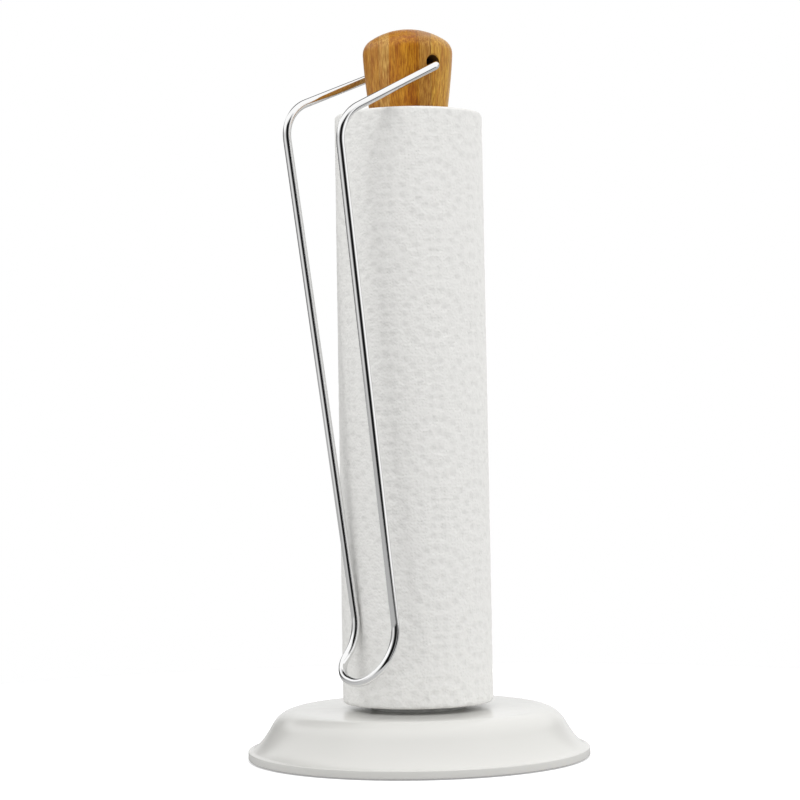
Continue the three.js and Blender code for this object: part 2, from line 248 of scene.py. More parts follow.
def piece(name, bm, body, finishes, replaced=(), crease=40):
    """Makes the bmesh a smooth object that rides on a body."""
    old = bpy.data.objects.get(name)
    if old:
        bpy.data.objects.remove(old)
    mesh = bpy.data.meshes.new(name)
    bm.to_mesh(mesh)
    bm.free()
    for finish in finishes:
        mesh.materials.append(finish)
    mesh.shade_smooth()
    mesh.set_sharp_from_angle(angle=radians(crease))
    made = bpy.data.objects.new(name, mesh)
    bpy.context.scene.collection.objects.link(made)
    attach(made, body)
    if replaced:
        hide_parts(*replaced)
    return made


def loose_object(name, bm):
    mesh = bpy.data.meshes.new(name)
    bm.to_mesh(mesh)
    bm.free()
    made = bpy.data.objects.new(name, mesh)
    bpy.context.scene.collection.objects.link(made)
    return made


def drilled(bm, drill):
    """The bmesh with the drill's bmesh cut out of it."""
    work = loose_object("drill_work", bm)
    tool = loose_object("drill_tool", drill)
    cut = work.modifiers.new("Drill", "BOOLEAN")
    cut.operation = "DIFFERENCE"
    cut.solver = "EXACT"
    cut.object = tool
    depsgraph = bpy.context.evaluated_depsgraph_get()
    result = bmesh.new()
    result.from_object(work, depsgraph)
    bpy.data.objects.remove(work)
    bpy.data.objects.remove(tool)
    return merged(result)


# ---- Nodes ----


def add(tree, kind, inputs=None, **options):
    """A node with its options set and its inputs linked or given a value."""
    made = tree.nodes.new(kind)
    for key, value in options.items():
        setattr(made, key, value)
    for key, value in (inputs or {}).items():
        if isinstance(value, NodeSocket):
            tree.links.new(value, made.inputs[key])
        else:
            made.inputs[key].default_value = value
    return made


def maths(tree, operation, *values):
    return add(tree, "ShaderNodeMath", dict(enumerate(values)), operation=operation).outputs[0]


def ramp(tree, factor, stops, interpolation="LINEAR"):
    """A colour ramp through (place, colour) stops. A single number is a grey."""
    made = add(tree, "ShaderNodeValToRGB", {"Fac": factor})
    elements = made.color_ramp.elements
    made.color_ramp.interpolation = interpolation
    while len(elements) < len(stops):
        elements.new(1)
    for element, (place, tone) in zip(elements, stops):
        element.position = place
        rgb = grey(tone) if isinstance(tone, (int, float)) else tuple(tone)
        element.color = (*rgb, 1)
    return made.outputs["Color"]


def in_millimetres(tree, scale=(1, 1, 1), turn=0):
    """Object coordinates in millimetres, turned about Z and then stretched."""
    place = add(tree, "ShaderNodeTexCoord").outputs["Object"]
    turned_place = add(
        tree, "ShaderNodeMapping", {"Vector": place, "Rotation": (0, 0, turn)}
    ).outputs["Vector"]
    size = tuple(s / MM for s in scale)
    stretched = add(tree, "ShaderNodeMapping", {"Vector": turned_place, "Scale": size})
    return stretched.outputs["Vector"]


def noise(tree, vector, scale, detail=3, roughness=0.5):
    values = {"Vector": vector, "Scale": scale, "Detail": detail, "Roughness": roughness}
    return add(tree, "ShaderNodeTexNoise", values).outputs["Fac"]


def spread(tree, value, low, high, from_low=0, from_high=1):
    values = {
        "Value": value,
        "From Min": from_low,
        "From Max": from_high,
        "To Min": low,
        "To Max": high,
    }
    return add(tree, "ShaderNodeMapRange", values).outputs["Result"]


def blend_colours(tree, factor, a, b, mode="MIX"):
    mix = tree.nodes.new("ShaderNodeMix")
    mix.data_type = "RGBA"
    mix.blend_type = mode
    sockets = {s.identifier: s for s in mix.inputs}
    given = {"Factor_Float": factor, "A_Color": a, "B_Color": b}
    for key, value in given.items():
        if isinstance(value, NodeSocket):
            tree.links.new(value, sockets[key])
        else:
            sockets[key].default_value = value if key == "Factor_Float" else (*value, 1)
    return next(s for s in mix.outputs if s.identifier == "Result_Color")


def bump(tree, height, depth, normal=None):
    """A bump whose full height is a depth in metres."""
    inputs = {"Height": height, "Distance": depth, "Strength": 1}
    if normal:
        inputs["Normal"] = normal
    return add(tree, "ShaderNodeBump", inputs).outputs["Normal"]


def new_material(name, metallic=0, roughness=0.5, **sockets):
    old = bpy.data.materials.get(name)
    if old:
        bpy.data.materials.remove(old)
    made = bpy.data.materials.new(name)
    made.use_nodes = True
    shader = made.node_tree.nodes["Principled BSDF"]
    shader.inputs["Metallic"].default_value = metallic
    shader.inputs["Roughness"].default_value = roughness
    for key, value in sockets.items():
        shader.inputs[key.replace("_", " ")].default_value = value
    return made, made.node_tree, shader


def connect(tree, shader, **outputs):
    for key, value in outputs.items():
        tree.links.new(value, shader.inputs[key.replace("_", " ")])


def darker(rgb, share):
    return tuple(c * share for c in rgb)


def tinted(rgb, tint):
    return tuple(c * share for c, share in zip(rgb, tint))


def grey(level):
    return (level,) * 3


# ---- Finishes ----


def enamel_finish(rgb):
    """Glossy powder coat: faint orange peel and a faint change of tone."""
    made, tree, shader = new_material("white_enamel", Specular_IOR_Level=0.5)
    smoothest, dullest = 0.14, 0.22
    peel_depth = 0.02 * MM
    place = in_millimetres(tree)
    tone = noise(tree, place, 0.03, 2)
    shade = blend_colours(tree, spread(tree, tone, 0.2, 0.8), darker(rgb, 0.97), rgb)
    peel = noise(tree, place, 0.55, 2)
    gloss = spread(tree, noise(tree, place, 0.12, 3), smoothest, dullest)
    relief = bump(tree, peel, peel_depth)
    connect(tree, shader, Base_Color=shade, Roughness=gloss, Normal=relief)
    return made


def around_roll(tree, cycles):
    """The angle round the spindle, in radians times a whole number of cycles, and the height."""
    place = add(tree, "ShaderNodeTexCoord").outputs["Object"]
    split = add(tree, "ShaderNodeSeparateXYZ", {0: place})
    angle = maths(tree, "ARCTAN2", split.outputs["Y"], split.outputs["X"])
    return maths(tree, "MULTIPLY", angle, cycles), split.outputs["Z"]


def paper_finish(rgb, roll):
    """Two-ply tissue: a worn lattice of pressed dots, a fine crepe and loose fibres. The crepe's
    hollows are darkened as painted shade. The large dimples are geometry, and here they only get
    painted shade in their hollows."""
    made, tree, shader = new_material("embossed_tissue", roughness=0.92, Specular_IOR_Level=0.2)
    pitch = 3.3 * MM
    lattice_depth, crepe_depth, fibre_depth = 0.06 * MM, 0.24 * MM, 0.1 * MM
    crepe_painted_shade, dimple_painted_shade = 0.965, 0.93
    cycles = round(2 * pi * roll.radius / pitch)
    turn, height = around_roll(tree, cycles)
    climb = maths(tree, "MULTIPLY", height, 2 * pi / pitch)
    rising = maths(tree, "COSINE", maths(tree, "ADD", turn, climb))
    falling = maths(tree, "COSINE", maths(tree, "SUBTRACT", turn, climb))
    lattice = maths(tree, "MAXIMUM", maths(tree, "MULTIPLY", rising, falling), 0)
    place = in_millimetres(tree)
    worn = spread(tree, noise(tree, place, 0.15, 2), 0, 1, 0.4, 0.65)
    lattice = maths(tree, "MULTIPLY", lattice, worn)
    crepe = add(
        tree, "ShaderNodeTexVoronoi", {"Vector": place, "Scale": 0.8}, feature="SMOOTH_F1"
    ).outputs["Distance"]
    fibres = noise(tree, place, 1.6, 5, 0.65)
    relief = bump(tree, lattice, lattice_depth)
    relief = bump(tree, crepe, crepe_depth, relief)
    relief = bump(tree, fibres, fibre_depth, relief)
    # Painted shade: the sheet is darkened where the crepe's bump is lowest.
    pit_shade_mask = spread(tree, crepe, 1, 0, 0.1, 0.6)
    shade = blend_colours(tree, pit_shade_mask, rgb, darker(rgb, crepe_painted_shade))
    # Painted shade in the large dimples, darkest where the sheet is pressed deepest.
    dimples = add(tree, "ShaderNodeAttribute", attribute_name="pressed").outputs["Fac"]
    shade = blend_colours(tree, dimples, shade, darker(rgb, dimple_painted_shade))
    connect(tree, shader, Base_Color=shade, Normal=relief)
    return made


def wound_edge_finish(rgb):
    """The cut edges of the wound sheets, loose fibres with a soft change of tone."""
    made, tree, shader = new_material("wound_tissue", roughness=0.95, Specular_IOR_Level=0.2)
    place = in_millimetres(tree)
    fibre_depth = 0.12 * MM
    fibres = noise(tree, place, 2.2, 5, 0.7)
    tone = noise(tree, place, 0.2, 3)
    shade = blend_colours(tree, tone, darker(rgb, 0.86), rgb)
    connect(tree, shader, Base_Color=shade, Normal=bump(tree, fibres, fibre_depth))
    return made


def card_finish(rgb):
    """Grey-brown board, wound in a spiral with a darker butt seam and pulp flecks."""
    made, tree, shader = new_material("spiral_card", roughness=0.85)
    seam_turns = 2
    seam_climb = 75 * MM
    pulp_depth = 0.06 * MM
    turn, height = around_roll(tree, seam_turns / (2 * pi))
    climb = maths(tree, "MULTIPLY", height, 1 / seam_climb)
    wrap = maths(tree, "FRACT", maths(tree, "ADD", turn, climb))
    seam = ramp(tree, wrap, [(0, 0.4), (0.02, 1), (0.98, 1), (1, 0.4)])
    place = in_millimetres(tree)
    flecks = noise(tree, place, 1.1, 5, 0.7)
    shade = blend_colours(tree, spread(tree, flecks, 0, 1, 0.3, 0.7), darker(rgb, 0.7), rgb)
    shade = blend_colours(tree, 1.0, shade, seam, "MULTIPLY")
    connect(tree, shader, Base_Color=shade, Normal=bump(tree, flecks, pulp_depth))
    return made


# Where each bamboo strip starts across the block, from 0 to 1, with its tint of the main strips.
BAMBOO_STRIPS = [
    (0, (0.98, 1.1, 2.4)),
    (0.19, (1.14, 1.5, 5)),
    (0.30, (1, 1, 1)),
    (0.50, (0.9, 0.86, 0.6)),
    (0.62, (0.84, 0.94, 2.0)),
    (0.75, (1.12, 1.42, 2.4)),
    (0.97, (1, 1, 1)),
]
# Tone across the block where glue lines show between the strips.
BAMBOO_SEAMS = [(0, 1), (0.18, 1), (0.19, 0.8), (0.2, 1), (0.588, 1), (0.6, 0.66), (0.612, 1)]
BAMBOO_SEAMS += [(0.738, 1), (0.75, 0.74), (0.762, 1)]
# Tints by the strength of the fine fibres, the dark pores and the broad stains.
BAMBOO_FIBRES = [(0.36, (0.62, 0.46, 0.3)), (0.5, 0.96), (0.62, (1.25, 1.36, 1.6))]
BAMBOO_PORES = [(0.3, (0.66, 0.48, 0.35)), (0.45, 1)]
BAMBOO_STAINS = [(0.34, (0.84, 0.7, 0.6)), (0.52, 1), (0.7, (1.08, 1.14, 1.4))]


def bamboo_finish(rgb, turn):
    """Laminated strips side by side, with straight fibres and short dark pores along them."""
    made, tree, shader = new_material(
        "laminated_bamboo", Specular_IOR_Level=0.3, Coat_Weight=0.12, Coat_Roughness=0.12
    )
    block_width = 44
    back_layer, back_shift = 4, 5.5
    smoothest, dullest = 0.36, 0.52
    grain_depth, pore_depth = 0.05 * MM, 0.03 * MM
    place = in_millimetres(tree, turn=turn)
    split = add(tree, "ShaderNodeSeparateXYZ", {0: place})
    behind = maths(tree, "GREATER_THAN", split.outputs["Y"], back_layer)
    shift = maths(tree, "MULTIPLY", behind, back_shift)
    across = maths(tree, "ADD", split.outputs["X"], shift)
    share = spread(tree, across, 0, 1, -block_width / 2, block_width / 2)
    strips = [(start, tinted(rgb, tint)) for start, tint in BAMBOO_STRIPS]
    shade = ramp(tree, share, strips, "CONSTANT")
    shade = blend_colours(tree, 1.0, shade, ramp(tree, share, BAMBOO_SEAMS), "MULTIPLY")
    grain = noise(tree, in_millimetres(tree, (1.7, 1.7, 0.09), turn), 1, 5, 0.62)
    pores = noise(tree, in_millimetres(tree, (2.8, 2.8, 0.2), turn), 1, 3, 0.6)
    streaks = noise(tree, in_millimetres(tree, (0.34, 0.34, 0.045), turn), 1, 3, 0.5)
    fibre = ramp(tree, grain, BAMBOO_FIBRES)
    shade = blend_colours(tree, 1.0, shade, fibre, "MULTIPLY")
    shade = blend_colours(tree, 0.7, shade, ramp(tree, pores, BAMBOO_PORES), "MULTIPLY")
    stain = ramp(tree, streaks, BAMBOO_STAINS)
    shade = blend_colours(tree, 1.0, shade, stain, "MULTIPLY")
    gloss = spread(tree, grain, dullest, smoothest)
    relief = bump(tree, grain, grain_depth)
    relief = bump(tree, pores, pore_depth, relief)
    connect(tree, shader, Base_Color=shade, Roughness=gloss, Normal=relief)
    return made


def bore_shade_finish(rgb):
    """End grain of the bamboo inside the cross bore, darkened all through as painted shade."""
    made, tree, shader = new_material("bamboo_bore_painted_shade", roughness=0.8)
    # Both shares darken the bamboo: painted shade inside the bore, from deepest to palest.
    deepest_shade, palest_shade = 0.08, 0.35
    grain_depth = 0.08 * MM
    grain = noise(tree, in_millimetres(tree, (2, 0.3, 2)), 1, 4)
    shade = blend_colours(tree, grain, darker(rgb, deepest_shade), darker(rgb, palest_shade))
    connect(tree, shader, Base_Color=shade, Normal=bump(tree, grain, grain_depth))
    return made


def chrome_finish(rgb):
    """Bright plating over drawn wire: very fine ripple, a few duller patches."""
    made, tree, shader = new_material("bright_chrome", metallic=1)
    smoothest, dullest = 0.02, 0.06
    ripple_depth = 0.004 * MM
    place = in_millimetres(tree)
    gloss = spread(tree, noise(tree, place, 0.25, 4), smoothest, dullest, 0.3, 0.7)
    tone = blend_colours(tree, noise(tree, place, 0.08, 2), darker(rgb, 0.95), rgb)
    relief = bump(tree, noise(tree, place, 0.5, 2), ripple_depth)
    connect(tree, shader, Base_Color=tone, Roughness=gloss, Normal=relief)
    return made


def grained_finish(name, rgb, roughness, grain_scale, grain_depth, metallic=0):
    """Moulded, cast or plated stock: a grain with its own scale and depth, mottled in tone."""
    made, tree, shader = new_material(name, metallic=metallic)
    swing = 0.08
    place = in_millimetres(tree)
    grain = noise(tree, place, grain_scale, 4, 0.6)
    mottle = noise(tree, place, grain_scale / 9, 3)
    shade = blend_colours(tree, spread(tree, mottle, 0, 1, 0.3, 0.7), darker(rgb, 0.78), rgb)
    gloss = spread(tree, grain, roughness - swing, roughness + swing, 0.3, 0.7)
    relief = bump(tree, grain, grain_depth)
    connect(tree, shader, Base_Color=shade, Roughness=gloss, Normal=relief)
    return made


# ---- The base ----


def base_flank(base):
    """From the rim's upper edge through the hollow cove and the round shoulder to the deck."""
    waist = (base.radius - 11.5 * MM, base.high - 7.2 * MM)
    step = (base.radius - 2 * MM, base.rim_height + base.rim_bevel / 2)
    hollow = (base.radius - 6.7 * MM, base.rim_height + 3.1 * MM)
    shoulder = (base.radius - 15.5 * MM, base.high)
    deck = (base.radius - 24.4 * MM, base.high)
    steps = 20
    return curve(step, hollow, waist, steps) + curve(waist, shoulder, deck, steps)[1:]


def base_outline(base):
    """Round the rim, over the flank and the deck to the bore, and back along the inside."""
    flank = base_flank(base)
    rim_inside = base.radius - base.wall
    foot = 0.4 * MM
    deck_ring = base.bore + 30 * MM
    edge = (base.radius - base.rim_bevel, base.rim_height - base.rim_bevel)
    return [
        (rim_inside, base.low),
        *arc((base.radius - foot, base.low + foot), foot, -90, 0, 4),
        *arc(edge, base.rim_bevel, 0, 80, 5),
        *flank,
        (deck_ring, base.high),
        (base.bore, base.high),
        (base.bore, base.high - base.wall),
        *inside(flank, base.wall),
        (rim_inside, base.rim_height - base.wall),
    ]


class TOWELHOLDER_OT_base(Operator):
    """Build the enamelled shell of the base"""

    bl_idname = "towel_holder.base"
    bl_label = "Base Shell"

    def execute(self, context):
        base = settings().base
        bm = turned(base_outline(base), BASE_STEPS, closed=True)
        finish = enamel_finish(settings().colours.enamel)
        piece("enamelled_base", bm, "base", [finish], ["base_shell"], 60)
        return {"FINISHED"}


class TOWELHOLDER_OT_rest(Operator):
    """Build the step and hub that the roll stands on"""

    bl_idname = "towel_holder.rest"
    bl_label = "Roll Rest"

    def execute(self, context):
        low, high, radius = REST_LOW.z, REST_HIGH.z, REST_HIGH.x
        bore = settings().base.bore
        step_top = low + 2.6 * MM
        floor = low + 2 * MM
        hub_play, socket_play = 1.2 * MM, 0.1 * MM
        hub = CARD_HIGH.x - settings().roll.card_wall - hub_play
        socket = TUBE_HIGH.x + socket_play
        edge, hub_edge, fillet = 1 * MM, 1.5 * MM, 0.6 * MM
        outline = [
            (bore, low),
            (radius, low),
            *arc((radius - edge, step_top - edge), edge, 0, 90, 6),
            (hub + fillet, step_top),
            (hub, step_top + fillet),
            *arc((hub - hub_edge, high - hub_edge), hub_edge, 0, 90, 6),
            (socket, high),
            (socket, floor),
            (bore, floor),
        ]
        bm = turned(outline, REST_STEPS, closed=True)
        rgb = settings().colours.plastic
        finish = grained_finish("satin_white_plastic", rgb, 0.42, 1.5, 0.02 * MM)
        piece("roll_step", bm, "base", [finish], ["roll_rest"], 50)
        return {"FINISHED"}


# ---- The roll ----


def fan_dimples(girth, low, high):
    """Centres (distance round, height) of the large dimples. They stand on rings about a
    staggered lattice of fan centres, each ring stopping where the next fan is nearer."""
    columns = 5
    rings = 5
    first_ring = 0.25
    flattened = 0.92
    clearance = 1.8 * MM
    across = girth / columns
    rise = 30 * MM
    ring_pitch = 6.6 * MM
    spacing = 4.9 * MM
    rows = ceil((high - low) / rise) + 3
    centres = [
        ((c + 0.5 * (r % 2)) * across, low + (r - 1) * rise)
        for r in range(rows)
        for c in range(-1, columns + 2)
    ]
    lattice = np.array(centres)
    found = []
    for own, (x, z) in enumerate(centres):
        if not 0 <= x < girth:
            continue
        for ring in range(rings):
            radius = ring_pitch * (ring + first_ring)
            count = max(1, round(2 * pi * radius / spacing))
            for i in range(count):
                angle = 2 * pi * (i + 0.5 * ring) / count
                spot = (x + radius * cos(angle), z + radius * sin(angle) * flattened)
                gaps = np.hypot(lattice[:, 0] - spot[0], lattice[:, 1] - spot[1])
                nearest = np.delete(gaps, own).min()
                if gaps[own] < nearest - clearance:
                    found.append((spot[0] % girth, spot[1]))
    return found


def emboss(mesh, roll, seed):
    """Presses the dimples into the sheet, lets the roll go slightly out of round, and ends the
    outer sheet in a free edge. It keeps how deep each point is pressed, which the paper's
    material turns into painted shade."""
    count = len(mesh.vertices)
    co = np.empty(count * 3)
    mesh.vertices.foreach_get("co", co)
    co = co.reshape(-1, 3)
    radial = np.hypot(co[:, 0], co[:, 1])
    angle = np.arctan2(co[:, 1], co[:, 0])
    height = co[:, 2]
    outer = radial > roll.radius - roll.taper - 1 * MM
    girth = 2 * pi * roll.radius
    along = (angle / (2 * pi)) % 1 * girth
    sink = np.zeros(count)

    order = np.argsort(height)
    levels = height[order]
    reach = 2.3 * MM
    fullness = 1.2
    shallowest, deepest = 0.6, 1.1
    pick = random.Random(seed)
    for x, z in fan_dimples(girth, roll.low, roll.high):
        depth = roll.dimple * pick.uniform(shallowest, deepest)
        first, last = np.searchsorted(levels, (z - reach, z + reach))
        near = order[first:last]
        side = np.abs(along[near] - x)
        gap = np.hypot(np.minimum(side, girth - side), height[near] - z)
        bell = np.clip(1 - (gap / reach) ** 2, 0, 1) ** fullness
        sink[near] = np.maximum(sink[near], depth * bell)

    # How deep each point of the outer sheet is pressed, from 0 to 1, kept for the painted shade
    # in the dimples.
    shade_in_dimples = np.where(outer, sink / (deepest * roll.dimple), 0)
    ply = 0.35 * MM
    past = ((angle - radians(TAIL_ANGLE)) % (2 * pi)) * roll.radius
    for wave, pitch in ((0.6 * MM, 110 * MM), (0.3 * MM, 37 * MM)):
        past = past + wave * np.sin(height * 2 * pi / pitch)
    sink += np.where(past < girth / 2, ply, 0) * np.clip(1 - past / girth, 0, 1)
    slack = 0.12 * MM
    sink += slack * (1 + np.sin(3 * angle + 9 * height)) / 2
    sink[~outer] = 0
    share = (radial - sink) / radial
    co[:, 0] *= share
    co[:, 1] *= share
    mesh.vertices.foreach_set("co", co.ravel())
    # This attribute carries the painted shade in the dimples.
    pressed = mesh.attributes.new("pressed", "FLOAT", "POINT")
    pressed.data.foreach_set("value", shade_in_dimples)
    mesh.update()


class TOWELHOLDER_OT_paper(Operator):
    """Build the embossed outer sheets and the wound ends of the roll"""

    bl_idname = "towel_holder.paper"
    bl_label = "Paper Roll"

    def execute(self, context):
        roll = settings().roll
        rgb = settings().colours.paper
        rows = SHEET_ROWS
        top_radius = roll.radius - roll.taper
        lower = arc((roll.radius - roll.edge, roll.low + roll.edge), roll.edge, -90, 0, 5)
        upper = arc((top_radius - roll.edge, roll.high - roll.edge), roll.edge, 0, 90, 5)
        (r0, z0), (r1, z1) = lower[-1], upper[0]
        side = [(r0 + (r1 - r0) * i / rows, z0 + (z1 - z0) * i / rows) for i in range(1, rows)]
        inner = top_radius - roll.sleeve
        outline = [(inner, roll.low), *lower, *side, *upper, (inner, roll.high)]
        bm = turned(outline, SHEET_STEPS, closed=True)
        made = piece(
            "embossed_sheets", bm, "roll", [paper_finish(rgb, roll)], ["paper_roll"], 70
        )
        emboss(made.data, roll, settings().seed)
        self.wind_ends(roll, rgb)
        return {"FINISHED"}

    def wind_ends(self, roll, rgb):
        """The wound sheets at both ends: each layer's top stands a little more or less shy."""
        pick = random.Random(settings().seed + 1)
        card_play, sleeve_play, foot_play = 0.1 * MM, 0.05 * MM, 0.1 * MM
        start = roll.card_radius + card_play
        stop = roll.radius - roll.taper - roll.sleeve - sleeve_play
        layers = int((stop - start) / roll.layer)
        pitch = (stop - start) / layers
        groove = 0.35 * MM
        least_shy, most_shy = 0.05, 0.4
        top, foot = [], []
        for i in range(layers):
            lip = start + i * pitch
            shy = pick.uniform(least_shy, most_shy) * MM
            top += [(lip, -groove - shy), (lip + 0.3 * pitch, -shy), (lip + 0.75 * pitch, -shy)]
            foot.append((lip, foot_play))
        outline = [(r, roll.low + z) for r, z in foot] + [(stop, roll.low + foot_play)]
        outline += [(r, roll.high + z) for r, z in reversed(top + [(stop, -groove)])]
        bm = turned(outline, WOUND_STEPS, closed=True)
        wave = 0.22 * MM
        wave_pitch = 0.9 * MM
        for vert in bm.verts:
            if vert.co.z > (roll.low + roll.high) / 2:
                angle = atan2(vert.co.y, vert.co.x)
                ripple = sin(2 * angle + hypot(vert.co.x, vert.co.y) / wave_pitch)
                vert.co.z -= wave * (1 + ripple) / 2
        piece("wound_sheets", bm, "roll", [wound_edge_finish(rgb)], ["paper_roll"], 70)


class TOWELHOLDER_OT_card(Operator):
    """Build the card tube inside the roll"""

    bl_idname = "towel_holder.card"
    bl_label = "Card Tube"

    def execute(self, context):
        roll = settings().roll
        outer = roll.card_radius
        inner = outer - roll.card_wall
        soft = 0.2 * MM
        outline = [
            (inner, roll.low + soft),
            (inner + soft, roll.low),
            (outer - soft, roll.low),
            (outer, roll.low + soft),
            (outer, roll.high - soft),
            (outer - soft, roll.high),
            (inner + soft, roll.high),
            (inner, roll.high - soft),
        ]
        bm = turned(outline, CARD_STEPS, closed=True)
        finish = card_finish(settings().colours.card)
        piece("card_tube", bm, "roll", [finish], ["card_core"], 50)
        return {"FINISHED"}


# ---- The knob ----


def knob_outline(knob):
    """Up the insert's hole, out along the foot, up the swelling side and over the crown."""
    crown_angle = 34
    crown_centre = knob.high - knob.crown
    crown = arc((0, crown_centre), knob.crown, 90 - crown_angle, 90, 22)
    edge_r = crown[0][0] - knob.edge * sin(radians(crown_angle))
    edge_z = crown[0][1] - knob.edge * cos(radians(crown_angle))
    squeeze = knob.radius / (edge_r + knob.edge)
    chamfer = 1 * MM
    belly_drop = 24.5 * MM
    foot = (knob.foot, knob.low + chamfer)
    belly = (knob.belly, knob.high - belly_drop)
    side = curve(foot, belly, (knob.radius, edge_z), 56)
    edge = arc((edge_r, edge_z), knob.edge, 0, 90 - crown_angle, 12)
    dome = [(r * squeeze, z) for r, z in edge[1:-1] + crown[:-1]]
    hole_top = knob.low + knob.stud_depth
    return [
        (0, hole_top),
        (knob.stud_hole, hole_top),
        (knob.stud_hole, knob.low),
        *arc((knob.foot - chamfer, knob.low + chamfer), chamfer, -90, -20, 4),
        *side,
        *dome,
        (0, knob.high),
    ]


def bore_drill(knob):
    """A long drill along Y with a countersink at each mouth."""
    countersink = 0.75 * MM
    mouth = knob.radius - countersink
    reach = knob.radius * 1.5
    flare = knob.bore + (reach - mouth)
    outline = [(0, -reach), (flare, -reach), (knob.bore, -mouth)]
    outline += [(knob.bore, mouth), (flare, reach), (0, reach)]
    bm = turned(outline, DRILL_STEPS)
    height = knob.high - knob.bore_drop
    lay_down = Matrix.Translation((0, 0, height)) @ Matrix.Rotation(radians(90), 4, "X")
    bmesh.ops.transform(bm, matrix=lay_down, verts=bm.verts)
    return merged(bm)


class TOWELHOLDER_OT_knob(Operator):
    """Build the turned bamboo knob with its cross bore"""

    bl_idname = "towel_holder.knob"
    bl_label = "Bamboo Knob"

    def execute(self, context):
        knob = settings().knob
        bm = drilled(turned(knob_outline(knob), KNOB_STEPS), bore_drill(knob))
        height = knob.high - knob.bore_drop
        slack = 0.02 * MM
        side_on = 0.3
        # Faces inside the cross bore get the second finish, which paints shade into the hole.
        for face in bm.faces:
            middle = face.calc_center_median()
            inside_bore = hypot(middle.x, middle.z - height) < knob.bore + slack
            face.material_index = int(inside_bore and abs(face.normal.y) < side_on)
        rgb = settings().colours.bamboo
        finishes = [bamboo_finish(rgb, radians(VIEW_TURN)), bore_shade_finish(rgb)]
        piece("bamboo_knob", bm, "knob", finishes, ["knob"], 35)
        return {"FINISHED"}


# ---- The arm ----


def wire_half(arm, sign):
    """Corners from the pin's tip down to the lip, on the -Y side for sign 1, else on +Y."""

    def pin(side):
        fall = sign * arm.pin_skew * side / arm.pin_side
        return Vector((0, -sign * side, arm.pin_height - fall))

    lip_height = arm.lip_height - sign * arm.lip_skew
    elbow_height = arm.elbow_height - sign * arm.elbow_skew
    lip_out = arm.toe_out + arm.lip_out
    return [
        pin(arm.pin_tip),
        pin(arm.pin_side),
        Vector((-arm.elbow_out, -sign * arm.elbow_side, elbow_height)),
        Vector((-arm.toe_out, -arm.toe_lean - sign * arm.toe_side, arm.toe_height)),
        Vector((-lip_out, -arm.lip_lean - sign * arm.lip_side, lip_height)),
    ]


def bent_wire(corners, bends, radius, sides):
    """Draws a round wire through the corners: straight by extrusion, round each bend by spin."""
    fewest_steps = 6
    tip_rounding = 0.5 * MM
    bm = bmesh.new()
    heading = (corners[1] - corners[0]).normalized()
    stand = heading.to_track_quat("Z", "Y").to_matrix().to_4x4()
    start = Matrix.Translation(corners[0]) @ stand
    ring = bmesh.ops.create_circle(bm, segments=sides, radius=radius, matrix=start)["verts"]
    edges = list({e for v in ring for e in v.link_edges})
    first_rim = list(edges)
    place = corners[0]
    for i, bend in enumerate(bends, 1):
        back = (corners[i - 1] - corners[i]).normalized()
        on = (corners[i + 1] - corners[i]).normalized()
        half = back.angle(on) / 2
        touch = corners[i] + back * bend / tan(half)
        edges = pushed(bm, edges, touch - place)
        centre = corners[i] + (back + on).normalized() * bend / sin(half)
        turn = pi - 2 * half
        spun = bmesh.ops.spin(
            bm,
            geom=edges + list({v for e in edges for v in e.verts}),
            cent=centre,
            axis=(touch - centre).cross(-back).normalized(),
            dvec=(0, 0, 0),
            angle=turn,
            steps=max(fewest_steps, round(turn / radians(WIRE_BEND_STEP))),
            use_merge=False,
            use_duplicate=False,
        )
        edges = [g for g in spun["geom_last"] if isinstance(g, bmesh.types.BMEdge)]
        place = corners[i] + on * bend / tan(half)
    edges = pushed(bm, edges, corners[-1] - place)
    bmesh.ops.edgeloop_fill(bm, edges=first_rim)
    bmesh.ops.edgeloop_fill(bm, edges=edges)
    bmesh.ops.bevel(
        bm,
        geom=first_rim + edges,
        offset=tip_rounding,
        offset_type="OFFSET",
        affect="EDGES",
        segments=3,
        profile=0.5,
        material=-1,
    )
    return merged(bm)


def pushed(bm, edges, way):
    """The open ring of edges extruded along a straight way. Gives the new ring's edges."""
    grown = bmesh.ops.extrude_edge_only(bm, edges=edges)["geom"]
    verts = [g for g in grown if isinstance(g, bmesh.types.BMVert)]
    bmesh.ops.translate(bm, vec=way, verts=verts)
    new_edges = [g for g in grown if isinstance(g, bmesh.types.BMEdge)]
    return [e for e in new_edges if set(e.verts) <= set(verts)]


class TOWELHOLDER_OT_arm(Operator):
    """Build the bent chrome wire of the arm"""

    bl_idname = "towel_holder.arm"
    bl_label = "Wire Arm"

    def execute(self, context):
        arm = settings().arm
        corners = wire_half(arm, 1) + wire_half(arm, -1)[::-1]
        side = [arm.pin_bend, arm.elbow_bend, arm.toe_bend, arm.lip_bend]
        bm = bent_wire(corners, side + side[::-1], arm.wire, WIRE_SIDES)
        finish = chrome_finish(settings().colours.chrome)
        piece("chrome_arm", bm, "arm", [finish], ["swing_arm"], 50)
        return {"FINISHED"}


# ---- Pieces whose CAD shape stays ----


